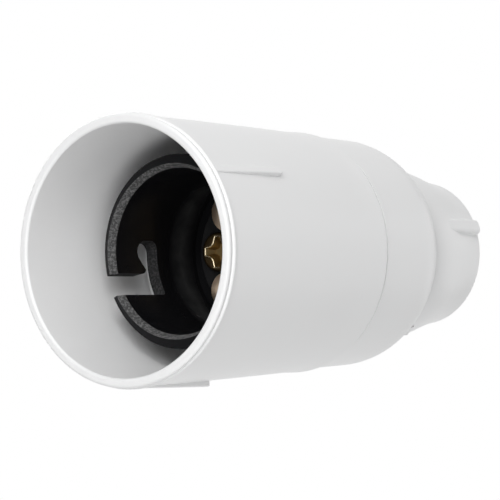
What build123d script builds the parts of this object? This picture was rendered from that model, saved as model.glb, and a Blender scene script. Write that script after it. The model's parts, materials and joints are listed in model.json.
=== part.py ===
"""A white bayonet lamp holder with a cord grip, in millimetres.

The holder stands on its mouth. The rim of the mouth lies on z = 0, Z is the axis of
the socket, and the cord would leave at the top. Angles are counted from +X.
"""
from build123d import *
import os
from math import atan2, cos, radians, sin, tan

os.makedirs("parts", exist_ok=True)

# Clearances between pieces
thread_clearance = 0.3  # radial, between the collars of a screwed pair
seat_clearance = 0.3  # along the axis, where a piece screws up against another
running_clearance = 0.08  # radial, round a piece that slides
fit_clearance = 0.05  # round a piece that is pushed or screwed into its seat
thread_lead = 0.3  # bevel at the mouth of a screwed pair
thread_depth = 0.45  # from the crest of a thread to its root, where the solid is left plain
thread_land = 1.0  # plain collar at the end of a threaded stretch
cut_margin = 1.0  # how far a cut runs past the piece

# Which side each of a pair stands on
contact_sides = (("upper", 1), ("lower", -1))
screw_sides = (("left", 1), ("right", -1))

# Front skirt: a tapered tube with a lip, a bead and three ribs round its mouth
skirt_length = 37.0
skirt_front_radius = 18.42
skirt_front_wall = 1.22
skirt_belly = 0.08
skirt_band_wall = 1.27
skirt_band_length = 3.6
skirt_band_blend = 40.0
lip_proud = 0.13
lip_inner_round = 0.4
lip_outer_round = 0.45
bead_proud = 0.28
bead_height = 1.3
bead_half_width = 0.35
bead_groove_depth = 0.15
skirt_end_round = 0.5
ledge_height = 26.7
ledge_thickness = 1.3
ledge_radius = 14.1
ledge_slope = 1.5
ledge_root_inset = 0.85
rib_count = 3
rib_angle = 143.5
rib_width = 1.2
rib_proud = 0.2
rib_end_height = 15.4
rib_root_depth = 0.9
rib_round = 0.25

# Bayonet barrel: a black cup with a slot for each pin of the lamp cap
socket_radius = 11.4
socket_length = 9.2
well_draft = 0.25  # lost on the radius from the socket's end to the floor
barrel_wall = 1.93
barrel_length = 19.0
nose_inner_bevel = 0.6
nose_height = 1.0
bore_edge_round = 0.6
floor_thickness = 2.5
floor_step_radius = 9.0
floor_step_height = 1.5
floor_step_round = 0.2
flange_radius = 15.0
flange_thickness = 3.0

# Pin slots, drawn on a plane square to the radius through the middle of the slot
slot_count = 2
slot_angle = -12.0
slot_entry_left = -3.85
slot_entry_right = -0.72
slot_floor_height = 20.9
slot_hook_height = 18.2
slot_hook_offset = -0.16
slot_hook_run = 0.95
slot_hook_bulge = 0.18
slot_pocket_offset = 2.37
slot_pocket_radius = 1.45
slot_pocket_height = 18.1
slot_pocket_sweep = 135.0
slot_corner = 0.6
slot_end_corner = 1.45

# Sprung contacts and their terminals
contact_offset = 5.35
contact_radius = 2.5
contact_tip_height = 21.5
contact_dome = 0.5
contact_shoulder_radius = 3.0
contact_shoulder_length = 1.0
contact_pin_radius = 1.3
contact_pin_length = 1.3
spring_wire_radius = 0.2
spring_turns = 5
terminal_radius = 3.7
spring_seat_depth = 8.0
terminal_length = 13.4
wire_hole_radius = 1.6
wire_hole_depth = 4.3
terminal_screw_inset = 2.3
terminal_screw_radius = 1.45
terminal_screw_bite = 0.3
terminal_screw_head_radius = 2.2
terminal_screw_head_length = 1.5
terminal_screw_slot = 0.6
terminal_screw_slot_depth = 0.75

# Terminal block behind the barrel
block_length = 8.0
block_clearance = 0.4  # radial, inside the cap's spigot
barrier_width = 1.5
barrier_height = 5.2
barrier_length = 17.0

# Screws that hold the barrel on the terminal block
barrel_screw_offset = 4.55
barrel_screw_radius = 1.45
barrel_screw_length = 8.0
barrel_screw_head_radius = 2.8
barrel_screw_head_height = 1.8
barrel_screw_head_round = 0.45
recess_span = 4.4
recess_width = 1.1
recess_depth = 1.25
recess_core_radius = 1.05
insert_radius = 2.6
insert_length = 6.0

# Rear cap: a spigot inside the skirt, a domed shell and a threaded neck
spigot_radius = 15.3
spigot_bore_radius = 13.4
cap_radius = 16.45
cap_edge_round = 0.25
cap_length = 14.15
cap_dome_start_drop = 0.45
cap_dome_start = 9.25
cap_dome_middle_drop = 0.9
cap_dome_middle = 11.8
cap_end_drop = 1.97
cap_end_round = 0.25
cap_end_wall = 1.8
chamber_radius = 12.9
chamber_round = 2.0
neck_radius = 9.4
neck_length = 8.8
cord_bore_radius = 5.2
jaw_seat_radius = 6.3
jaw_seat_depth = 5.6
lug_angle = 227.5
lug_width = 1.6
lug_reach = 0.57
lug_depth = 1.3
lug_length = 3.6
lug_chamfer = 0.3

# Cord grip nut with two wings, and the split jaw that it squeezes
nut_length = 16.15
nut_front_radius = 12.5
nut_shoulder_radius = 12.35
nut_shoulder = 5.2
nut_waist_radius = 10.95
nut_waist = 11.25
nut_rear_slope = 0.12
nut_rear_radius = 10.25
nut_end_round = 1.0
cord_radius = 4.2
cord_mouth_round = 0.6
nut_end_wall = 2.6
nut_headroom = 0.6
wing_count = 2
wing_angle = 160.0
wing_width = 2.1
wing_root_drop = 0.15
wing_reach = 1.4
wing_bite = 1.0
wing_start = 5.0
wing_end = 14.9
wing_tip_round = 0.8
wing_edge_round = 0.6
jaw_length = 10.0
jaw_root_length = 5.7
jaw_tip_radius = 5.2
jaw_bore_radius = 3.6
jaw_tooth_height = 0.3
jaw_tooth_pitch = 1.4
jaw_tooth_count = 3
jaw_slit_width = 0.9
jaw_slit_depth = 7.2

# Heights that follow from the sizes above
flange_front = ledge_height + seat_clearance
barrel_rear = flange_front + flange_thickness
barrel_nose = barrel_rear - barrel_length
barrel_front = barrel_nose + nose_height
floor_height = barrel_rear - floor_thickness
socket_end = barrel_front + socket_length
groove_floor = floor_height + floor_step_height
barrel_radius = socket_radius + barrel_wall
cap_front = barrel_rear
cap_shoulder = skirt_length + seat_clearance
cap_end = cap_shoulder + cap_length
neck_end = cap_end + neck_length
nut_front = cap_end + seat_clearance
nut_end = nut_front + nut_length
nut_inner_end = nut_end - nut_end_wall
jaw_seat_floor = neck_end - jaw_seat_depth
jaw_foot = jaw_seat_floor + seat_clearance
jaw_tip = jaw_foot + jaw_length
jaw_shoulder = jaw_foot + jaw_root_length
jaw_radius = jaw_seat_radius - running_clearance
skirt_thread_radius = spigot_radius + thread_clearance
skirt_root_radius = skirt_thread_radius + thread_depth
skirt_band_radius = skirt_thread_radius + skirt_band_wall
mouth_radius = skirt_front_radius - skirt_front_wall
lip_radius = skirt_front_radius + lip_proud
bead_radius = skirt_front_radius + bead_proud
rib_radius = skirt_front_radius + rib_proud
terminal_front = barrel_rear + fit_clearance
spring_seat = terminal_front + spring_seat_depth
terminal_rear = terminal_front + terminal_length
block_radius = spigot_bore_radius - block_clearance
shoulder_front = barrel_rear + seat_clearance
shoulder_rear = shoulder_front + contact_shoulder_length
cap_end_radius = cap_radius - cap_end_drop
lug_radius = cap_end_radius + lug_reach
spigot_root_radius = spigot_radius - thread_depth
neck_root_radius = neck_radius - thread_depth
nut_bore_radius = neck_radius + thread_clearance
nut_root_radius = nut_bore_radius + thread_depth
contact_spots = [(0, sign * contact_offset) for side, sign in contact_sides]
screw_spots = [(sign * barrel_screw_offset, 0) for side, sign in screw_sides]


def radial_plane(angle):
    """A plane through the axis: local x runs out along the radius, local y up."""
    out = (cos(radians(angle)), sin(radians(angle)), 0)
    return Plane(origin=(0, 0, 0), x_dir=out, z_dir=(out[1], -out[0], 0))


def slot_plane(angle):
    """A plane on the axis that faces out at an angle: local x turns with it."""
    out = (cos(radians(angle)), sin(radians(angle)), 0)
    return Plane(origin=(0, 0, 0), x_dir=(-out[1], out[0], 0), z_dir=out)


def post_plane(x, y):
    """The XZ plane moved to a post that stands at x, y."""
    return Plane(origin=(x, y, 0), x_dir=(1, 0, 0), z_dir=(0, -1, 0))


# Front skirt
lip_crest_inner = mouth_radius + lip_inner_round
lip_crest_outer = lip_radius - lip_outer_round
groove_radius = lip_radius - bead_groove_depth
ledge_root_radius = skirt_band_radius - ledge_root_inset
ledge_front = ledge_height - ledge_thickness
band_start_height = skirt_length - skirt_band_length
band_taper = atan2(abs(skirt_front_radius - skirt_band_radius), band_start_height - bead_height)
band_blend_room = skirt_band_length / 2 / tan(band_taper / 2)

with BuildPart() as front_skirt:
    with BuildSketch(Plane.XZ):
        with BuildLine():
            Line((lip_crest_inner, 0), (lip_crest_outer, 0))
            TangentArc((lip_crest_outer, 0), (lip_radius, lip_outer_round), tangent=(1, 0))
            Line((lip_radius, lip_outer_round), (groove_radius, bead_height - bead_half_width))
            ThreePointArc(
                (groove_radius, bead_height - bead_half_width),
                (bead_radius, bead_height),
                (skirt_front_radius, bead_height + bead_half_width),
            )
            SagittaArc(
                (skirt_front_radius, bead_height + bead_half_width),
                (skirt_band_radius, band_start_height),
                -skirt_belly,
            )
            Line(
                (skirt_band_radius, band_start_height),
                (skirt_band_radius, skirt_length - skirt_end_round),
            )
            TangentArc(
                (skirt_band_radius, skirt_length - skirt_end_round),
                (skirt_band_radius - skirt_end_round, skirt_length),
                tangent=(0, 1),
            )
            Polyline(
                (skirt_band_radius - skirt_end_round, skirt_length),
                (skirt_thread_radius + thread_lead, skirt_length),
                (skirt_thread_radius, skirt_length - thread_lead),
                (skirt_thread_radius, skirt_length - thread_land),
                (skirt_root_radius, skirt_length - thread_land),
                (skirt_root_radius, barrel_rear + thread_land),
                (skirt_thread_radius, barrel_rear + thread_land),
                (skirt_thread_radius, ledge_height),
                (ledge_radius, ledge_height),
                (ledge_radius, ledge_front),
                (ledge_root_radius, ledge_front - ledge_slope),
                (mouth_radius, lip_inner_round),
            )
            TangentArc((mouth_radius, lip_inner_round), (lip_crest_inner, 0), tangent=(0, -1))
        make_face()
        band_start = vertices().sort_by_distance((skirt_band_radius, band_start_height))[0]
        fillet(band_start, min(skirt_band_blend, band_blend_room))
    revolve(axis=Axis.Z)
    with BuildSketch(Plane.XY.offset(bead_height)):
        with PolarLocations(rib_radius - rib_root_depth / 2, rib_count, rib_angle):
            RectangleRounded(rib_root_depth, rib_width, rib_round)
    extrude(amount=rib_end_height - bead_height)
front_skirt.part.label = "front_skirt"
export_step(front_skirt.part, "parts/front_skirt.step")

# Bayonet barrel
slot_mouth = barrel_nose - cut_margin
slot_end = slot_pocket_offset + slot_pocket_radius
hook_tip = (slot_hook_offset, slot_hook_height)
hook_foot = (slot_entry_right, slot_hook_height - slot_hook_run)

with BuildPart() as bayonet_barrel:
    with BuildSketch(Plane.XZ):
        with BuildLine():
            Polyline(
                (0, barrel_rear),
                (flange_radius, barrel_rear),
                (flange_radius, flange_front),
                (barrel_radius, flange_front),
                (barrel_radius, barrel_front),
                (socket_radius + nose_inner_bevel, barrel_nose),
                (socket_radius, barrel_front),
                (socket_radius, socket_end),
                (socket_radius - well_draft, groove_floor),
                (floor_step_radius, groove_floor),
                (floor_step_radius, floor_height),
                (0, floor_height),
                close=True,
            )
        make_face()
        bore_edge = vertices().sort_by_distance((socket_radius, barrel_front))[0]
        fillet(bore_edge, bore_edge_round)
        floor_edge = vertices().sort_by_distance((floor_step_radius, floor_height))[0]
        fillet(floor_edge, floor_step_round)
    revolve(axis=Axis.Z)
    for turn in range(slot_count):
        with BuildSketch(slot_plane(slot_angle + turn * 360 / slot_count)):
            with BuildLine():
                Line((slot_entry_left, slot_mouth), (slot_entry_left, slot_floor_height - slot_corner))
                TangentArc(
                    (slot_entry_left, slot_floor_height - slot_corner),
                    (slot_entry_left + slot_corner, slot_floor_height),
                    tangent=(0, 1),
                )
                Line(
                    (slot_entry_left + slot_corner, slot_floor_height),
                    (slot_end - slot_end_corner, slot_floor_height),
                )
                TangentArc(
                    (slot_end - slot_end_corner, slot_floor_height),
                    (slot_end, slot_floor_height - slot_end_corner),
                    tangent=(1, 0),
                )
                Line((slot_end, slot_floor_height - slot_end_corner), (slot_end, slot_pocket_height))
                pocket = CenterArc(
                    (slot_pocket_offset, slot_pocket_height),
                    slot_pocket_radius,
                    0,
                    -slot_pocket_sweep,
                )
                Line(pocket @ 1, hook_tip)
                SagittaArc(hook_tip, hook_foot, -slot_hook_bulge)
                Polyline(hook_foot, (slot_entry_right, slot_mouth), (slot_entry_left, slot_mouth))
            make_face()
        extrude(amount=barrel_radius + cut_margin, mode=Mode.SUBTRACT)
    with BuildSketch(Plane.XY.offset(floor_height)):
        with Locations(*contact_spots):
            Circle(contact_radius + running_clearance)
        with Locations(*screw_spots):
            Circle(barrel_screw_radius + running_clearance)
    extrude(amount=floor_thickness, mode=Mode.SUBTRACT)
bayonet_barrel.part.label = "bayonet_barrel"
export_step(bayonet_barrel.part, "parts/bayonet_barrel.step")

# Terminal block
with BuildPart() as terminal_block:
    with BuildSketch(Plane.XY.offset(terminal_front)):
        Circle(block_radius)
    extrude(amount=block_length)
    with BuildSketch(Plane.XY.offset(terminal_front + block_length)):
        Rectangle(barrier_length, barrier_width)
    extrude(amount=barrier_height)
    with BuildSketch(Plane.XY.offset(terminal_front)):
        with Locations(*contact_spots):
            Circle(terminal_radius + fit_clearance)
    extrude(amount=block_length, mode=Mode.SUBTRACT)
    with BuildSketch(Plane.XY.offset(terminal_front)):
        with Locations(*screw_spots):
            Circle(insert_radius + fit_clearance)
    extrude(amount=insert_length + 2 * fit_clearance, mode=Mode.SUBTRACT)
terminal_block.part.label = "terminal_block"
export_step(terminal_block.part, "parts/terminal_block.step")

# Sprung contacts, their springs, the terminals and the terminal screws
for side, sign in contact_sides:
    contact_y = sign * contact_offset
    with BuildPart() as contact_plunger:
        with BuildSketch(post_plane(0, contact_y)):
            with BuildLine():
                TangentArc(
                    (0, contact_tip_height),
                    (contact_radius, contact_tip_height + contact_dome),
                    tangent=(1, 0),
                )
                Polyline(
                    (contact_radius, contact_tip_height + contact_dome),
                    (contact_radius, shoulder_front),
                    (contact_shoulder_radius, shoulder_front),
                    (contact_shoulder_radius, shoulder_rear),
                    (contact_pin_radius, shoulder_rear),
                    (contact_pin_radius, shoulder_rear + contact_pin_length),
                    (0, shoulder_rear + contact_pin_length),
                    (0, contact_tip_height),
                )
            make_face()
        revolve(axis=Axis((0, contact_y, 0), (0, 0, 1)))
    contact_plunger.part.label = f"contact_plunger_{side}"
    export_step(contact_plunger.part, f"parts/contact_plunger_{side}.step")

    spring_height = spring_seat - shoulder_rear - 2 * (spring_wire_radius + fit_clearance)
    spring_radius = (contact_pin_radius + contact_shoulder_radius) / 2
    with BuildPart() as plunger_spring:
        with BuildLine() as spring_path:
            Helix(
                spring_height / spring_turns,
                spring_height,
                spring_radius,
                center=(0, contact_y, shoulder_rear + spring_wire_radius + fit_clearance),
            )
        with BuildSketch(Plane(spring_path.line @ 0, z_dir=spring_path.line % 0)):
            Circle(spring_wire_radius)
        sweep(is_frenet=True)
    plunger_spring.part.label = f"plunger_spring_{side}"
    export_step(plunger_spring.part, f"parts/plunger_spring_{side}.step")

    screw_height = terminal_rear - terminal_screw_inset
    screw_seat = contact_y + sign * terminal_radius
    with BuildPart() as terminal:
        with BuildSketch(Plane.XY.offset(terminal_front)):
            with Locations((0, contact_y)):
                Circle(terminal_radius)
        extrude(amount=terminal_length)
        with BuildSketch(Plane.XY.offset(terminal_front)):
            with Locations((0, contact_y)):
                Circle(contact_shoulder_radius + running_clearance)
        extrude(amount=spring_seat_depth, mode=Mode.SUBTRACT)
        with BuildSketch(Plane.XY.offset(terminal_rear)):
            with Locations((0, contact_y)):
                Circle(wire_hole_radius)
        extrude(amount=-wire_hole_depth, mode=Mode.SUBTRACT)
        with BuildSketch(Plane(origin=(0, contact_y, screw_height), z_dir=(0, sign, 0))):
            Circle(terminal_screw_radius + fit_clearance)
        extrude(amount=terminal_radius + cut_margin, mode=Mode.SUBTRACT)
    terminal.part.label = f"terminal_{side}"
    export_step(terminal.part, f"parts/terminal_{side}.step")

    shank_start = contact_y + sign * (wire_hole_radius - terminal_screw_bite)
    head_start = screw_seat + sign * seat_clearance
    with BuildPart() as terminal_screw:
        with BuildSketch(Plane(origin=(0, shank_start, screw_height), z_dir=(0, sign, 0))):
            Circle(terminal_screw_radius)
        extrude(amount=abs(head_start - shank_start))
        with BuildSketch(Plane(origin=(0, head_start, screw_height), z_dir=(0, sign, 0))):
            Circle(terminal_screw_head_radius)
        extrude(amount=terminal_screw_head_length)
        head_face = head_start + sign * terminal_screw_head_length
        with BuildSketch(Plane(origin=(0, head_face, screw_height), z_dir=(0, sign, 0))):
            Rectangle(2 * terminal_screw_head_radius + cut_margin, terminal_screw_slot)
        extrude(amount=-terminal_screw_slot_depth, mode=Mode.SUBTRACT)
    terminal_screw.part.label = f"terminal_screw_{side}"
    export_step(terminal_screw.part, f"parts/terminal_screw_{side}.step")

# Barrel screws and the threaded inserts that they bite
for side, sign in screw_sides:
    screw_x = sign * barrel_screw_offset
    screw_face = floor_height - barrel_screw_head_height
    screw_crown = screw_face + barrel_screw_head_round
    screw_crown_radius = barrel_screw_head_radius - barrel_screw_head_round
    with BuildPart() as barrel_screw:
        with BuildSketch(post_plane(screw_x, 0)):
            with BuildLine():
                Line((0, screw_face), (screw_crown_radius, screw_face))
                TangentArc(
                    (screw_crown_radius, screw_face),
                    (barrel_screw_head_radius, screw_crown),
                    tangent=(1, 0),
                )
                Polyline(
                    (barrel_screw_head_radius, screw_crown),
                    (barrel_screw_head_radius, floor_height),
                    (barrel_screw_radius, floor_height),
                    (barrel_screw_radius, floor_height + barrel_screw_length),
                    (0, floor_height + barrel_screw_length),
                    (0, screw_face),
                )
            make_face()
        revolve(axis=Axis((screw_x, 0, 0), (0, 0, 1)))
        with BuildSketch(Plane.XY.offset(screw_face)):
            with Locations((screw_x, 0)):
                Rectangle(recess_span, recess_width)
                Rectangle(recess_width, recess_span)
                Circle(recess_core_radius)
        extrude(amount=recess_depth, mode=Mode.SUBTRACT)
    barrel_screw.part.label = f"barrel_screw_{side}"
    export_step(barrel_screw.part, f"parts/barrel_screw_{side}.step")

    with BuildPart() as screw_insert:
        with BuildSketch(Plane.XY.offset(terminal_front + fit_clearance)):
            with Locations((screw_x, 0)):
                Circle(insert_radius)
                Circle(barrel_screw_radius + fit_clearance, mode=Mode.SUBTRACT)
        extrude(amount=insert_length)
    screw_insert.part.label = f"screw_insert_{side}"
    export_step(screw_insert.part, f"parts/screw_insert_{side}.step")

# Rear cap
chamber_end = cap_end - cap_end_wall
lug_end = cap_end - cap_end_round
lug_root = lug_radius - lug_depth

with BuildPart() as rear_cap:
    with BuildSketch(Plane.XZ):
        with BuildLine():
            Polyline(
                (spigot_bore_radius, cap_front),
                (spigot_radius - thread_lead, cap_front),
                (spigot_radius, cap_front + thread_lead),
                (spigot_radius, cap_front + thread_land),
                (spigot_root_radius, cap_front + thread_land),
                (spigot_root_radius, cap_shoulder),
                (cap_radius - cap_edge_round, cap_shoulder),
                (cap_radius, cap_shoulder + cap_edge_round),
                (cap_radius - cap_dome_start_drop, cap_shoulder + cap_dome_start),
            )
            ThreePointArc(
                (cap_radius - cap_dome_start_drop, cap_shoulder + cap_dome_start),
                (cap_radius - cap_dome_middle_drop, cap_shoulder + cap_dome_middle),
                (cap_end_radius, cap_end - cap_end_round),
            )
            Polyline(
                (cap_end_radius, cap_end - cap_end_round),
                (cap_end_radius - cap_end_round, cap_end),
                (neck_root_radius, cap_end),
                (neck_root_radius, neck_end - thread_land),
                (neck_radius, neck_end - thread_land),
                (neck_radius, neck_end - thread_lead),
                (neck_radius - thread_lead, neck_end),
                (jaw_seat_radius, neck_end),
                (jaw_seat_radius, jaw_seat_floor),
                (cord_bore_radius, jaw_seat_floor),
                (cord_bore_radius, chamber_end),
                (chamber_radius - chamber_round, chamber_end),
            )
            TangentArc(
                (chamber_radius - chamber_round, chamber_end),
                (chamber_radius, chamber_end - chamber_round),
                tangent=(1, 0),
            )
            Line(
                (chamber_radius, chamber_end - chamber_round),
                (spigot_bore_radius, cap_front),
            )
        make_face()
    revolve(axis=Axis.Z)
    with BuildSketch(radial_plane(lug_angle)):
        with BuildLine():
            Polyline(
                (lug_root, lug_end),
                (lug_radius - lug_chamfer, lug_end),
                (lug_radius, lug_end - lug_chamfer),
                (lug_radius, lug_end - lug_length),
                (lug_root, lug_end - lug_length),
                close=True,
            )
        make_face()
    extrude(amount=lug_width / 2, both=True)
rear_cap.part.label = "rear_cap"
export_step(rear_cap.part, "parts/rear_cap.step")

# Cord grip jaw: a sleeve split into four fingers, with teeth inside the tips
with BuildPart() as cord_grip_jaw:
    with BuildSketch(Plane.XZ):
        with BuildLine():
            Polyline(
                (jaw_bore_radius, jaw_foot),
                (jaw_radius, jaw_foot),
                (jaw_radius, jaw_shoulder),
                (jaw_tip_radius, jaw_tip),
                (jaw_bore_radius, jaw_tip),
                close=True,
            )
        make_face()
        for tooth in range(jaw_tooth_count):
            tooth_height = jaw_tip - jaw_tooth_pitch * (tooth + 0.5)
            with BuildLine():
                Polyline(
                    (jaw_bore_radius, tooth_height - jaw_tooth_height),
                    (jaw_bore_radius - jaw_tooth_height, tooth_height),
                    (jaw_bore_radius, tooth_height + jaw_tooth_height),
                    close=True,
                )
            make_face()
    revolve(axis=Axis.Z)
    with BuildSketch(Plane.XY.offset(jaw_tip)):
        Rectangle(2 * jaw_radius + cut_margin, jaw_slit_width)
        Rectangle(jaw_slit_width, 2 * jaw_radius + cut_margin)
    extrude(amount=-jaw_slit_depth, mode=Mode.SUBTRACT)
cord_grip_jaw.part.label = "cord_grip_jaw"
export_step(cord_grip_jaw.part, "parts/cord_grip_jaw.step")

# Cord grip nut
jaw_slope = (jaw_radius - jaw_tip_radius) / (jaw_tip - jaw_shoulder)
cone_start = neck_end + nut_headroom
cone_end_radius = jaw_tip_radius - jaw_slope * (nut_inner_end - jaw_tip) + seat_clearance
cone_start_radius = jaw_radius + seat_clearance
wing_foot = nut_front + wing_start
wing_head = nut_front + wing_end
wing_root_radius = nut_shoulder_radius - wing_root_drop
wing_tip_radius = nut_rear_radius + wing_reach

with BuildPart() as nut_wing:
    with BuildSketch(Plane.XZ):
        with BuildLine():
            Polyline(
                (nut_shoulder_radius - wing_bite, wing_foot),
                (wing_root_radius, wing_foot),
                (wing_tip_radius, wing_head - wing_tip_round),
            )
            TangentArc(
                (wing_tip_radius, wing_head - wing_tip_round),
                (wing_tip_radius - wing_tip_round, wing_head),
                tangent=(0, 1),
            )
            Polyline(
                (wing_tip_radius - wing_tip_round, wing_head),
                (nut_rear_radius - wing_bite, wing_head),
                (nut_shoulder_radius - wing_bite, wing_foot),
            )
        make_face()
    extrude(amount=wing_width / 2, both=True)
    wing_sides = edges().group_by(Axis.Y)
    for side in (wing_sides[0], wing_sides[-1]):
        fillet(side.sort_by_distance((wing_tip_radius, 0, wing_head))[:3], wing_edge_round)

with BuildPart() as cord_grip_nut:
    with BuildSketch(Plane.XZ):
        with BuildLine():
            Polyline(
                (nut_bore_radius, nut_front),
                (nut_front_radius - thread_lead, nut_front),
                (nut_front_radius, nut_front + thread_lead),
            )
            Spline(
                (nut_front_radius, nut_front + thread_lead),
                (nut_shoulder_radius, nut_front + nut_shoulder),
                (nut_waist_radius, nut_front + nut_waist),
                (nut_rear_radius, nut_end - nut_end_round),
                tangents=[(0, 1), (-nut_rear_slope, 1)],
            )
            TangentArc(
                (nut_rear_radius, nut_end - nut_end_round),
                (nut_rear_radius - nut_end_round, nut_end),
                tangent=(0, 1),
            )
            Line((nut_rear_radius - nut_end_round, nut_end), (cord_radius + cord_mouth_round, nut_end))
            TangentArc(
                (cord_radius + cord_mouth_round, nut_end),
                (cord_radius, nut_end - cord_mouth_round),
                tangent=(-1, 0),
            )
            Polyline(
                (cord_radius, nut_end - cord_mouth_round),
                (cord_radius, nut_inner_end),
                (cone_end_radius, nut_inner_end),
                (cone_start_radius, jaw_shoulder),
                (cone_start_radius, cone_start),
                (nut_bore_radius, cone_start),
                (nut_bore_radius, cone_start - thread_land),
                (nut_root_radius, cone_start - thread_land),
                (nut_root_radius, nut_front + thread_land),
                (nut_bore_radius, nut_front + thread_land),
                (nut_bore_radius, nut_front),
            )
        make_face()
    revolve(axis=Axis.Z)
    with PolarLocations(0, wing_count, wing_angle):
        add(nut_wing.part)
cord_grip_nut.part.label = "cord_grip_nut"
export_step(cord_grip_nut.part, "parts/cord_grip_nut.step")
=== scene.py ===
# %% [markdown]
# # A bayonet lamp holder
# The holder comes packed as exact solids: a white skirt, a black barrel inside it, a white cap
# behind it and a cord grip. This notebook gives each of them its finish, adds the fine work that
# the solids leave out, such as threads and springs, and lights and frames the result.

# %% Load the frame
import json
from math import cos, pi, sin, tau

import bmesh
import bpy
from mathutils import Matrix, Vector


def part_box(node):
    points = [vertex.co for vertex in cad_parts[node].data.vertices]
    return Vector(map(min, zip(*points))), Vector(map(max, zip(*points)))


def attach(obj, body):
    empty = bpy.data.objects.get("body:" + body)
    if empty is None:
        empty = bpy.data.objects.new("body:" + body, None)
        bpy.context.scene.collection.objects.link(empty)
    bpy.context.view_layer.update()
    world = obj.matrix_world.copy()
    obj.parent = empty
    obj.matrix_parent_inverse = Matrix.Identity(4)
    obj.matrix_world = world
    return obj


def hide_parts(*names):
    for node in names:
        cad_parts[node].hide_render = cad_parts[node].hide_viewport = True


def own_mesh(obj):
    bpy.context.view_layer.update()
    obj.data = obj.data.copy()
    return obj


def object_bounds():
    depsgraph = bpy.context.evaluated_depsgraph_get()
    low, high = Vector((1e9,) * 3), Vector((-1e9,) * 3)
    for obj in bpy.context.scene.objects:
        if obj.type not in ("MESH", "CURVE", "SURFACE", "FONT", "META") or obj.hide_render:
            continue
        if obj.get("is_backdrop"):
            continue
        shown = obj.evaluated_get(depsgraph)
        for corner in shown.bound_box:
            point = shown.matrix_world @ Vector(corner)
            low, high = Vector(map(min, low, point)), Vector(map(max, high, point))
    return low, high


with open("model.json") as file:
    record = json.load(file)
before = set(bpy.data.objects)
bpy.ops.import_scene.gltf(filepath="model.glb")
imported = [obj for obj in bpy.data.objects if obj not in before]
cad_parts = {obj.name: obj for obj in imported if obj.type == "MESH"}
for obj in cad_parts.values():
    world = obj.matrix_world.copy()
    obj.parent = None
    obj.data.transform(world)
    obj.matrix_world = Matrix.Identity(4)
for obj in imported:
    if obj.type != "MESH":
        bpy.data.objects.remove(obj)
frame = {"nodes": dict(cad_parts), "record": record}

millimetre = 0.001
cad_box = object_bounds()
print("size in mm:", [round(side / millimetre, 1) for side in cad_box[1] - cad_box[0]])

# %% [markdown]
# ## The camera
# The photograph was taken from far away with a long lens, from the side of the mouth and a little
# ahead of it. A camera can be placed by its angles, but its three axes say more plainly where it
# looks, so its matrix is put together from them. The lens is long, so the holder barely tapers
# with distance.

# %% Camera
camera_place = Vector((-0.4362, -0.0030, -0.5126))
camera_look = Vector((0.6284, 0.0047, 0.7779)).normalized()
upright = Vector((0, 1, -0.006))  # nearly Y, because the photograph leans a little
camera_right = camera_look.cross(upright).normalized()
camera_up = camera_right.cross(camera_look)
camera_lens = 360.0
sensor_width = 36.0

camera = bpy.data.objects.new("camera", bpy.data.cameras.new("camera"))
bpy.context.scene.collection.objects.link(camera)
bpy.context.scene.camera = camera
camera.data.lens = camera_lens
camera.data.sensor_width = sensor_width
camera.data.clip_start = 0.01
turn = Matrix((camera_right, camera_up, -camera_look)).transposed().to_4x4()
camera.matrix_world = Matrix.Translation(camera_place) @ turn
bpy.context.scene.view_settings.view_transform = "Standard"
print("camera is", round(camera_place.length, 3), "m from the mouth")

# %% [markdown]
# ## Maths as plain expressions
# A material's pattern is a chain of nodes. Wired one by one, the chain hides the sum that it works
# out. This small class wraps an output socket, so that `1 - mask * 0.5` adds the Math nodes by
# itself. One method adds every other kind of node: it takes the type, then the settings, then the
# values or links of the sockets.


# %% A socket that does maths
class Value:
    """An output socket of a node tree. Sums with it add Math nodes to the tree."""

    def __init__(self, tree, socket=None):
        self.tree = tree
        self.socket = socket

    def add(self, kind, settings=None, inputs=None, output=0):
        """Add a node, set its settings, then its sockets, and wrap one of its outputs."""
        node = self.tree.nodes.new(kind)
        for name, setting in (settings or {}).items():
            setattr(node, name, setting)
        for name, value in (inputs or {}).items():
            if isinstance(value, Value):
                self.tree.links.new(value.socket, node.inputs[name])
            else:
                node.inputs[name].default_value = value
        return Value(self.tree, node.outputs[output])

    def maths(self, operation, first, second=0.0):
        return self.add("ShaderNodeMath", {"operation": operation}, {0: first, 1: second})

    def __add__(self, other):
        return self.maths("ADD", self, other)

    def __sub__(self, other):
        return self.maths("SUBTRACT", self, other)

    def __rsub__(self, other):
        return self.maths("SUBTRACT", other, self)

    def __mul__(self, other):
        return self.maths("MULTIPLY", self, other)

    def __gt__(self, other):
        return self.maths("GREATER_THAN", self, other)

    def __lt__(self, other):
        return self.maths("LESS_THAN", self, other)

    __radd__ = __add__
    __rmul__ = __mul__


# %% [markdown]
# ## How a finish is put together
# Each finish here has one Principled shader. Its steady numbers sit on its own sockets. Only what
# changes over the surface, such as a speckle or a fine waviness, is linked. Patterns read the
# object coordinates in millimetres, so that a grain has its real size on every piece.


# %% Helpers for finishes
def new_material(name):
    """An empty material, its tree as a Value, and its output node."""
    material = bpy.data.materials.new(name)
    material.use_nodes = True
    tree = material.node_tree
    tree.nodes.clear()
    return material, Value(tree), tree.nodes.new("ShaderNodeOutputMaterial")


def place_in_mm(sheet):
    """Object coordinates in millimetres."""
    place = sheet.add("ShaderNodeTexCoord", output="Object")
    return sheet.add(
        "ShaderNodeVectorMath", {"operation": "SCALE"}, {"Vector": place, "Scale": 1 / millimetre}
    )


def axes(sheet, place):
    """The three coordinates of a place."""
    return [sheet.add("ShaderNodeSeparateXYZ", None, {0: place}, output=axis) for axis in range(3)]


def fade(sheet, distance, width):
    """A mask that is 1 at distance 0 and falls to 0 at a width on either side."""
    away = sheet.maths("ABSOLUTE", distance)
    return sheet.maths("MAXIMUM", 1 - away * (1 / width), 0.0)


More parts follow.
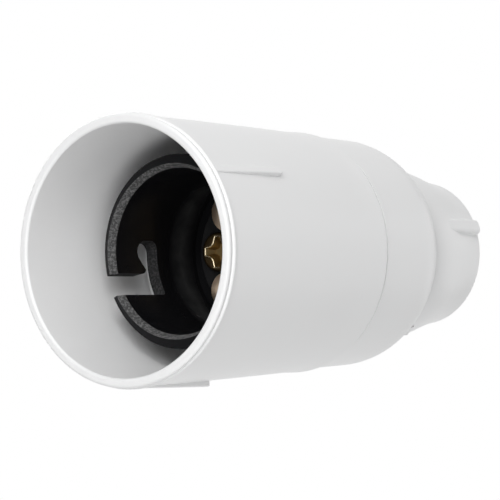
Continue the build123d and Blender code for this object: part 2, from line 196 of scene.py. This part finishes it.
def noise(sheet, place, per_mm, detail=3.0, roughness=0.5):
    """Cloudy noise from 0 to 1 with so many blobs in each millimetre."""
    sockets = {"Vector": place, "Scale": per_mm, "Detail": detail, "Roughness": roughness}
    return sheet.add("ShaderNodeTexNoise", None, sockets, output="Fac")


def between(sheet, mask, low, high):
    """A colour that runs from low to high as the mask runs from 0 to 1.

    A Mix node has sockets of the same name for each type of data, so the enabled ones are found.
    """
    low, high = (end if isinstance(end, Value) else (*end, 1.0) for end in (low, high))
    sockets = {"Factor": mask, "A": low, "B": high}
    mix = sheet.tree.nodes.new("ShaderNodeMix")
    mix.data_type = "RGBA"
    for name, value in sockets.items():
        slot = next(s for s in mix.inputs if s.name == name and s.enabled)
        if isinstance(value, Value):
            sheet.tree.links.new(value.socket, slot)
        else:
            slot.default_value = value
    return Value(sheet.tree, next(s for s in mix.outputs if s.enabled))


def bump(sheet, height, depth_mm):
    """A normal that follows a height, which runs from 0 to 1, over a real depth."""
    sockets = {"Height": height, "Distance": depth_mm * millimetre, "Strength": 1.0}
    return sheet.add("ShaderNodeBump", None, sockets, output="Normal")


def principled(sheet, output, **sockets):
    """The shader of a finish, wired to the material's output."""
    names = {name.replace("_", " "): value for name, value in sockets.items()}
    shader = sheet.add("ShaderNodeBsdfPrincipled", None, names)
    sheet.tree.links.new(shader.socket, output.inputs["Surface"])


# %% [markdown]
# ## White moulding
# The skirt, the cap and the nut are moulded in a white thermoset. Its surface is even and softly
# glossy, with a faint waviness from the mould and a very fine grain. A flat white would look like
# paper, so the roughness drifts a little and two layers of bump break the highlights. Painted shade
# darkens the seam behind the skirt and the foot of the nut, where shadow falls in the gaps. It
# could be a thin dark piece in each gap, but a mask by height draws both as soft lines on the
# moulding.

# %% White moulding
seam_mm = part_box("front_skirt")[1].z / millimetre
nut_foot_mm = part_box("cord_grip_nut")[0].z / millimetre
# Widths of the painted shade: a dark band over the seam behind the skirt, a weaker one on the nut
seam_shade_width_mm = 0.34
foot_shade_width_mm = 1.3
foot_shade_share = 0.22  # as a share of the painted shade in the seam
foot_margin_mm = 0.1  # below the foot of the nut, still clear of the cap


def white_moulding():
    material, sheet, output = new_material("white_moulding")
    place = place_in_mm(sheet)
    z = axes(sheet, place)[2]
    above_foot = z - nut_foot_mm
    # Painted shade in the seam behind the skirt and, weaker, on the nut just above its foot
    painted_shade = fade(sheet, z - seam_mm, seam_shade_width_mm)
    on_nut = above_foot > -foot_margin_mm
    painted_shade = painted_shade + foot_shade_share * on_nut * fade(sheet, above_foot, foot_shade_width_mm)
    drift = noise(sheet, place, per_mm=0.12)
    grain = noise(sheet, place, per_mm=9.0, detail=2.0)
    wave = noise(sheet, place, per_mm=0.35, detail=1.0)
    principled(
        sheet,
        output,
        Base_Color=between(
            sheet,
            painted_shade,
            between(sheet, drift, (0.865, 0.867, 0.87), (0.885, 0.886, 0.887)),
            # the dark grey of the painted shade
            (0.12, 0.12, 0.12),
        ),
        Roughness=0.3 + drift * 0.12 + grain * 0.05 + painted_shade * 0.4,
        IOR=1.5,
        Normal=bump(sheet, wave * 0.9 + grain * 0.1, depth_mm=0.03),
    )
    return material


white = white_moulding()

# %% [markdown]
# ## Black moulding
# The barrel is a dark, softly polished moulding. The bevel round its mouth is different: the tool
# left it matt, with small pale specks. The slots are matt too, and scuffed at their ends, where a
# lamp's pins rub. A faint pale ring deep in the bore is a painted reflection. The specks could be a
# picture, but a fine noise does it, shown only on those faces. They are found by their radius and
# height: the bevel ends inside a certain radius, and a cut face lies in the wall.

# %% Black moulding
nose_height_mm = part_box("bayonet_barrel")[0].z / millimetre
bevel_depth_mm = 1.1
bevel_radius_mm = 12.05
bore_radius_mm = 11.4
wall_mm = 1.93
skin_mm = 0.05  # how far inside the wall a face counts as cut
slot_depth_mm = 9.95
slot_entry_mm = 5.5
# Height and width of the painted reflection, a faint pale ring on the bore
reflection_ring_height_mm = 25.9
reflection_ring_width_mm = 2.6


def black_moulding():
    material, sheet, output = new_material("black_moulding")
    place = place_in_mm(sheet)
    x, y, z = axes(sheet, place)
    radius = sheet.maths("SQRT", x * x + y * y)
    bevel = (z < nose_height_mm + bevel_depth_mm) * (radius < bevel_radius_mm)
    in_wall = radius > bore_radius_mm + skin_mm
    in_wall = in_wall * (radius < bore_radius_mm + wall_mm - skin_mm)
    slot = in_wall * (z < nose_height_mm + slot_depth_mm)
    pin_end = slot * (z > nose_height_mm + slot_entry_mm)
    # Painted reflection: a faint pale ring on the bore deep inside
    reflection_ring = (radius < bore_radius_mm + skin_mm) * fade(sheet, z - reflection_ring_height_mm, reflection_ring_width_mm)
    drift = noise(sheet, place, per_mm=0.4)
    grain = noise(sheet, place, per_mm=3.2, detail=4.0, roughness=0.65)
    fleck = sheet.add(
        "ShaderNodeMapRange", None, {"Value": grain, "From Min": 0.46, "From Max": 0.62}
    )
    # Pale specks and scuffs on the bevel and slot ends, plus the painted reflection in the bore
    scuff_and_reflection = bevel * (0.3 + fleck * 0.7) + pin_end * (0.08 + fleck * 0.2) + reflection_ring * drift * 0.4
    principled(
        sheet,
        output,
        Base_Color=between(sheet, scuff_and_reflection, (0.006, 0.006, 0.007), (0.17, 0.17, 0.17)),
        Roughness=0.2 + drift * 0.1 + slot * 0.5,
        Specular_IOR_Level=0.14,
        Normal=bump(sheet, grain * (bevel + pin_end * 0.5) + drift * 0.4, depth_mm=0.03),
    )
    return material


black = black_moulding()

# %% [markdown]
# ## Metals
# The contacts, terminals and screws are turned brass, the terminal screws are plated steel and the
# springs are drawn wire. The barrel screws are three copies of one brass: a painted dark reflection
# on their faces, a mid brown in their recesses, and a painted highlight on the edges of the
# recesses.
# Each metal could have its own tree of nodes, but they differ only in colour and polish, so one
# function makes them all. A slow noise stains the colour as handling does, and a fine one keeps the
# highlight from being a perfect mirror.


# %% Metals
def metal(name, clean, stained, roughness):
    """A metal whose colour drifts from clean to stained."""
    material, sheet, output = new_material(name)
    place = place_in_mm(sheet)
    stain = noise(sheet, place, per_mm=0.7, detail=5.0, roughness=0.6)
    scratch = noise(sheet, place, per_mm=6.0, detail=2.0)
    principled(
        sheet,
        output,
        Base_Color=between(sheet, stain, clean, stained),
        Metallic=1.0,
        Roughness=roughness + stain * 0.12 + scratch * 0.06,
        Normal=bump(sheet, scratch, depth_mm=0.0012),
    )
    return material


brass_contact = metal("brass_contact", (0.95, 0.75, 0.57), (0.84, 0.63, 0.46), 0.26)
brass_terminal = metal("brass_terminal", (0.78, 0.58, 0.3), (0.6, 0.42, 0.2), 0.28)
# Barrel screws: a painted dark reflection on the face, a mid brown in the recess, a painted
# highlight on the rims
brass_screw = metal("brass_screw", (0.1, 0.068, 0.032), (0.05, 0.034, 0.017), 0.34)
recess_brass = metal("recess_brass", (0.38, 0.27, 0.12), (0.2, 0.14, 0.065), 0.3)
highlight_brass = metal("highlight_brass", (0.95, 0.82, 0.58), (0.8, 0.66, 0.42), 0.16)
plated_screw = metal("plated_screw", (0.72, 0.72, 0.7), (0.5, 0.5, 0.5), 0.24)
spring_steel = metal("spring_steel", (0.66, 0.66, 0.66), (0.46, 0.46, 0.47), 0.22)
print("materials:", ", ".join(sorted(m.name for m in bpy.data.materials)))

# %% [markdown]
# ## Give each solid its finish
# The solids that are right as they are keep their meshes and only get a material. Each could be
# dressed by name, but the record already says which finish it has, so one loop reads the record and
# a table turns its words into materials.

# %% Finishes of the solids
finishes = {
    "white_moulding": white,
    "grip_moulding": white,
    "black_moulding": black,
    "brass_contact": brass_contact,
    "brass_terminal": brass_terminal,
    "brass_screw": brass_screw,
    "plated_screw": plated_screw,
    "spring_steel": spring_steel,
}
for row in frame["record"]["subparts"]:
    solid = frame["nodes"][row["node"]]
    solid.data.materials.clear()
    solid.data.materials.append(finishes[row["material_slot"]])
print(len(frame["nodes"]), "solids dressed")


# %% [markdown]
# ## New pieces
# The pieces below are the fine work: threads, springs and screws. Curves and modifiers could make
# them, but bmesh operators work on each other's results, and nothing is left to apply. Each shape
# is drawn in millimetres and turned into an object at the origin, with its place in its mesh. Faces
# are smooth, and edges that turn sharply stay crisp. Each piece rides on a body.


# %% From a bmesh to a piece
sharp_angle = 0.6  # radians


def make_piece(name, shape, body, slot):
    """Turn a bmesh drawn in millimetres into a piece that rides on a body."""
    bmesh.ops.recalc_face_normals(shape, faces=shape.faces)
    bmesh.ops.scale(shape, verts=shape.verts, vec=(millimetre,) * 3)
    for face in shape.faces:
        face.smooth = True
    mesh = bpy.data.meshes.new(name)
    shape.to_mesh(mesh)
    shape.free()
    mesh.set_sharp_from_angle(angle=sharp_angle)
    mesh.materials.append(finishes[slot])
    piece = bpy.data.objects.new(name, mesh)
    bpy.context.scene.collection.objects.link(piece)
    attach(piece, body)
    return piece


# %% [markdown]
# ## Threads
# The skirt screws on the cap and the nut on the cap's neck, with coarse moulded threads. The solids
# are plain there, at the root of the thread, so only the ridge is made here. A ridge could be a
# curve with a profile. A spin that climbs at each step gives the same helix in one operator, and
# its rings stay in order, so both ends can be sunk into the wall, as a moulded thread runs out.


# %% Ridges of the threads
steps_per_turn = 72
fade_turns = 0.3
root_sink = 0.05
flank_share = 0.28  # of the foot, under each sloping side


def thread_ridge(name, root, crest, bottom, top, pitch, foot, body):
    """A helical ridge in millimetres from a root radius to a crest radius, inwards or outwards."""
    shape = bmesh.new()
    buried = root - root_sink if crest > root else root + root_sink
    slope = foot * flank_share
    outline = (
        (buried, 0.0),
        (root, root_sink),
        (crest, slope),
        (crest, foot - slope),
        (root, foot - root_sink),
        (buried, foot),
    )
    corners = [shape.verts.new((radius, 0.0, bottom + height)) for radius, height in outline]
    edges = [shape.edges.new(pair) for pair in zip(corners, corners[1:])]
    turns = (top - foot - bottom) / pitch
    steps = round(turns * steps_per_turn)
    bmesh.ops.spin(
        shape,
        geom=corners + edges,
        axis=(0, 0, 1),
        cent=(0, 0, 0),
        dvec=(0, 0, pitch / steps_per_turn),
        angle=tau * steps / steps_per_turn,
        steps=steps,
        use_merge=False,
    )
    shape.verts.ensure_lookup_table()
    for vertex in shape.verts:
        step = vertex.index // len(outline)
        risen = min(step, steps - step) / (fade_turns * steps_per_turn)
        radius = vertex.co.xy.length
        target = buried + (radius - buried) * min(risen, 1.0)
        vertex.co.x *= target / radius
        vertex.co.y *= target / radius
    ridge = make_piece(name, shape, body, "white_moulding")
    print(name, "has", round(turns, 1), "turns and", len(ridge.data.polygons), "faces")


# %% The four threads
nut_gap = 0.3  # between the end of the cap and the foot of the nut
thread_height = 0.43
cap_rear_mm = nut_foot_mm - nut_gap
spigot_root = 14.85
neck_root = 8.95
thread_play = 1.2  # from the root of one thread to the root of the other
skirt_pitch = 2.0
nut_pitch = 1.5

# name, root, side of the crest, start, bottom and top from there, pitch, foot, body
thread_rows = (
    ("spigot_thread", spigot_root, 1, seam_mm, -5.8, -0.4, skirt_pitch, 1.2, "rear"),
    ("skirt_thread", spigot_root + thread_play, -1, seam_mm, -5.7, -1.3, skirt_pitch, 1.0, "skirt"),
    ("neck_thread", neck_root, 1, cap_rear_mm, 0.6, 7.7, nut_pitch, 0.9, "rear"),
    ("nut_thread", neck_root + thread_play, -1, cap_rear_mm, 1.5, 8.0, nut_pitch, 0.75, "grip_nut"),
)
for name, root, outwards, start, bottom, top, pitch, foot, body in thread_rows:
    crest = root + outwards * thread_height
    thread_ridge(name, root, crest, start + bottom, start + top, pitch, foot, body)

# %% [markdown]
# ## Contact springs
# A spring pushes each contact out of the barrel. The solid is a plain helix. A real spring has
# closed ends, where the last turn lies on the one before, and open turns between. It could be a
# curve with a round bevel, but a plain spin makes the turns as rings, and each ring can then be
# moved along the axis, little at the ends and more between.


# %% Springs
wire_radius = 0.2
wire_sides = 12
spring_turns = 7
steps_per_coil = 40
closed_turns = 1.0
closed_pitch = 2.1 * wire_radius  # a turn that just clears the one before


def contact_spring(side):
    """A compression spring with closed ends, in the place of its plain solid."""
    node = "plunger_spring_" + side
    low, high = (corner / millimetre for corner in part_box(node))
    middle = (low + high) / 2
    coil_radius = (high.x - low.x) / 2 - wire_radius
    first, last = low.z + wire_radius, high.z - wire_radius
    shape = bmesh.new()
    bmesh.ops.create_circle(
        shape,
        cap_ends=False,
        segments=wire_sides,
        radius=wire_radius,
        matrix=Matrix.Translation((middle.x + coil_radius, middle.y, 0))
        @ Matrix.Rotation(pi / 2, 4, "X"),
    )
    steps = spring_turns * steps_per_coil
    bmesh.ops.spin(
        shape,
        geom=shape.verts[:] + shape.edges[:],
        axis=(0, 0, 1),
        cent=(middle.x, middle.y, 0),
        angle=tau * spring_turns,
        steps=steps,
        use_merge=False,
    )
    shape.verts.ensure_lookup_table()
    closed_rise = closed_turns * closed_pitch
    open_rise = last - first - 2 * closed_rise
    open_turns = spring_turns - 2 * closed_turns
    for vertex in shape.verts:
        turn = vertex.index // wire_sides / steps * spring_turns
        climb = closed_rise * min(turn / closed_turns, 1.0)
        climb += open_rise * min(max((turn - closed_turns) / open_turns, 0.0), 1.0)
        climb += closed_rise * max((turn - spring_turns) / closed_turns + 1, 0.0)
        vertex.co.z += first + climb
    bmesh.ops.holes_fill(shape, edges=[edge for edge in shape.edges if edge.is_boundary])
    spring = make_piece(node + "_wire", shape, "rear", "spring_steel")
    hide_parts(node)
    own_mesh(spring)
    return spring


for side in ("upper", "lower"):
    spring = contact_spring(side)
    print(spring.name, "has", len(spring.data.polygons), "faces")

# %% [markdown]
# ## Barrel screws
# Two brass screws hold the barrel, and one of them shows in the photograph, where the light catches
# the rim of its cross recess. A cross cut with a boolean leaves long thin faces that can't be
# rounded. Here the cross and the head's circle are two loops in one plane. Bridging them gives the
# face of the head, and extruding each loop gives the recess and the head's side. The rims of both
# are then bevelled. The recess and its rim get finishes of their own: a mid brown in the recess and
# a painted highlight on the rim.


# %% Loops of edges
def loop_at(shape, points, height):
    """A closed loop of edges through the points of one plane."""
    corners = [shape.verts.new((x, y, height)) for x, y in points]
    return [shape.edges.new(pair) for pair in zip(corners, corners[1:] + corners[:1])]


def push_loop(shape, edges, centre, grow, along):
    """Extrude a loop, scale the new one about a centre and move it along the axis."""
    wall = bmesh.ops.extrude_edge_only(shape, edges=edges)["geom"]
    corners = [item for item in wall if isinstance(item, bmesh.types.BMVert)]
    at_origin = Matrix.Translation((-centre.x, -centre.y, 0))
    bmesh.ops.scale(shape, verts=corners, vec=(grow, grow, 1), space=at_origin)
    bmesh.ops.translate(shape, verts=corners, vec=(0, 0, along))
    wall_edges = [item for item in wall if isinstance(item, bmesh.types.BMEdge)]
    return [edge for edge in wall_edges if all(corner in corners for corner in edge.verts)]


# %% Screws
head_radius = 2.8
head_sides = 64
head_round = 0.45
cross_half_span = 2.13
arm_half_width = 0.45
crotch_out = 1.15
crotch_in = 0.7
cross_depth = 1.2
cross_taper = 0.6
cross_rim = 0.1
shank_radius = 1.4
head_height = 1.8
rim_finish = 1  # a place in the screw's list of materials
recess_finish = 2


def barrel_screw(side):
    """A pan head screw with a cross recess, in the place of its plain solid."""
    node = "barrel_screw_" + side
    low, high = (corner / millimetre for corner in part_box(node))
    middle = (low + high) / 2
    arm = (
        (cross_half_span, -arm_half_width),
        (cross_half_span, arm_half_width),
        (crotch_out, crotch_in),
        (crotch_in, crotch_out),
    )
    cross = []
    for quarter in range(4):
        turn = Matrix.Rotation(quarter * pi / 2, 2)
        cross += [turn @ Vector(point) + middle.xy for point in arm]
    circle = []
    for step in range(head_sides):
        angle = tau * step / head_sides
        circle.append(middle.xy + head_radius * Vector((cos(angle), sin(angle))))
    shape = bmesh.new()
    recess_rim = loop_at(shape, cross, low.z)
    head_rim = loop_at(shape, circle, low.z)
    bmesh.ops.bridge_loops(shape, edges=recess_rim + head_rim)
    seat = push_loop(shape, head_rim, middle, 1.0, head_height)
    neck = push_loop(shape, seat, middle, shank_radius / head_radius, 0.0)
    end = push_loop(shape, neck, middle, 1.0, high.z - low.z - head_height)
    floor = push_loop(shape, recess_rim, middle, cross_taper, cross_depth)
    bmesh.ops.edgeloop_fill(shape, edges=end)
    bmesh.ops.edgeloop_fill(shape, edges=floor)
    bevel_same = {"affect": "EDGES", "profile": 0.5, "material": -1}
    bmesh.ops.bevel(shape, geom=head_rim, offset=head_round, segments=5, **bevel_same)
    rounded = bmesh.ops.bevel(shape, geom=recess_rim, offset=cross_rim, segments=3, **bevel_same)
    for face in shape.faces:
        spot = face.calc_center_median() - Vector((*middle.xy, low.z))
        if spot.xy.length < cross_half_span and cross_rim < spot.z < cross_depth + cross_rim:
            face.material_index = recess_finish
    # The rounded rims of the recess take the painted highlight
    for face in rounded["faces"]:
        face.material_index = rim_finish
    screw = make_piece(node + "_head", shape, "rear", "brass_screw")
    # the finishes of the painted highlight and of the mid brown recess
    screw.data.materials.append(highlight_brass)
    screw.data.materials.append(recess_brass)
    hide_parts(node)
    return screw


for side in ("left", "right"):
    screw = barrel_screw(side)
    print(screw.name, "has", len(screw.data.polygons), "faces")


# %% [markdown]
# ## Light
# The photograph is a cut-out on white. The world alone could give that white, but then every side
# of the holder would be lit alike and look flat. So the world is shown to the camera and to
# reflections at full strength, and lights the holder at a lower level. Large soft lamps do the
# rest: a key above the camera that shines into the mouth, a fill below it, weaker ones from the
# top, from below and from the cord's end, and one behind, which keeps the far side as white as the
# near one. Their levels were balanced against the photograph's own greys.


# %% World
ambient = 0.23


def studio_world():
    world = bpy.data.worlds.new("studio")
    world.use_nodes = True
    bpy.context.scene.world = world
    tree = world.node_tree
    tree.nodes.clear()
    sheet = Value(tree)
    seen = sheet.add("ShaderNodeLightPath", output="Is Camera Ray")
    seen = seen + sheet.add("ShaderNodeLightPath", output="Is Glossy Ray")
    seen = seen + sheet.add("ShaderNodeLightPath", output="Is Transmission Ray")
    strength = ambient + (seen > 0.5) * (1 - ambient)
    background = sheet.add(
        "ShaderNodeBackground", None, {"Color": (1, 1, 1, 1), "Strength": strength}
    )
    output = tree.nodes.new("ShaderNodeOutputWorld")
    tree.links.new(background.socket, output.inputs["Surface"])
    print("the world lights the holder at a level of", ambient)


studio_world()


# %% Lamps
lamp_distance = 0.6
lamp_side = 0.4


def soft_lamp(name, across, above, ahead, level):
    """A square lamp that shines on the holder's middle.

    Its direction is given as the camera sees it: to the right, up, and towards the camera.
    A level of 1 lights a face that looks at the lamp as a white world of strength 1 does.
    """
    lamp = bpy.data.lights.new(name, "AREA")
    lamp.shape = "SQUARE"
    lamp.size = lamp_side
    lamp.energy = level * pi * pi * lamp_distance * lamp_distance
    holder = bpy.data.objects.new(name, lamp)
    bpy.context.scene.collection.objects.link(holder)
    direction = (across * camera_right + above * camera_up - ahead * camera_look).normalized()
    middle = (cad_box[0] + cad_box[1]) / 2
    holder.matrix_world = Matrix.Translation(middle + direction * lamp_distance) @ (
        direction.to_track_quat("Z", "Y").to_matrix().to_4x4()
    )
    holder.visible_camera = False


# name, across, above, ahead, level
lamp_rows = (
    ("key_lamp", -0.14, 0.46, 0.87, 0.74),
    ("fill_lamp", -0.07, -0.53, 0.85, 0.29),
    ("top_lamp", 0.0, 1.0, 0.1, 0.17),
    ("low_lamp", 0.0, -1.0, 0.1, 0.25),
    ("rear_lamp", 0.8, 0.0, -0.6, 0.2),
    ("back_lamp", -0.45, 0.3, -0.85, 0.36),
)
for lamp_row in lamp_rows:
    soft_lamp(*lamp_row)
print("lamps:", ", ".join(name for name, *rest in lamp_rows))


# %% [markdown]
# ## Floor
# The holder stands on a plain pale floor. The photograph looks up at it from below the rim, where
# a solid floor would hide everything. The floor could be left out for that view, but one scene has
# to serve them all, so its material turns clear on its lower side. It glows a little, to stay pale
# away from the lamps, and sends no light back to the holder.


# %% Floor
floor_radius = 0.6
floor_glow = 0.32


def pale_floor():
    """A disc that shows only from above and only to the camera."""
    shape = bmesh.new()
    bmesh.ops.create_circle(shape, cap_ends=True, segments=96, radius=floor_radius)
    mesh = bpy.data.meshes.new("floor")
    shape.to_mesh(mesh)
    shape.free()
    floor = bpy.data.objects.new("floor", mesh)
    bpy.context.scene.collection.objects.link(floor)
    material, sheet, output = new_material("floor")
    cloud = noise(sheet, place_in_mm(sheet), per_mm=0.02)
    paper = sheet.add(
        "ShaderNodeBsdfPrincipled",
        None,
        {
            "Base Color": between(sheet, cloud, (0.86,) * 3, (0.88,) * 3),
            "Roughness": 0.9,
            "Specular IOR Level": 0.0,
            "Emission Color": (1.0, 1.0, 1.0, 1.0),
            "Emission Strength": floor_glow,
        },
    )
    clear = sheet.add("ShaderNodeBsdfTransparent")
    below = sheet.add("ShaderNodeNewGeometry", output="Backfacing")
    both = sheet.add("ShaderNodeMixShader", None, {0: below, 1: paper, 2: clear})
    sheet.tree.links.new(both.socket, output.inputs["Surface"])
    mesh.materials.append(material)
    floor.visible_diffuse = False
    floor.visible_glossy = False
    floor.visible_transmission = False
    floor.visible_shadow = False
    floor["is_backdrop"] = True
    print("the floor is", 2 * floor_radius, "m across")


pale_floor()

# %% [markdown]
# ## Sizes
# The dressed holder is meant to fill the same box as its solids. Its size is printed here, and the
# size of the solids at the start.

# %% Sizes and finish
visual_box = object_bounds()
visual_size = visual_box[1] - visual_box[0]
print("visual size in mm:", [round(side / millimetre, 1) for side in visual_size])
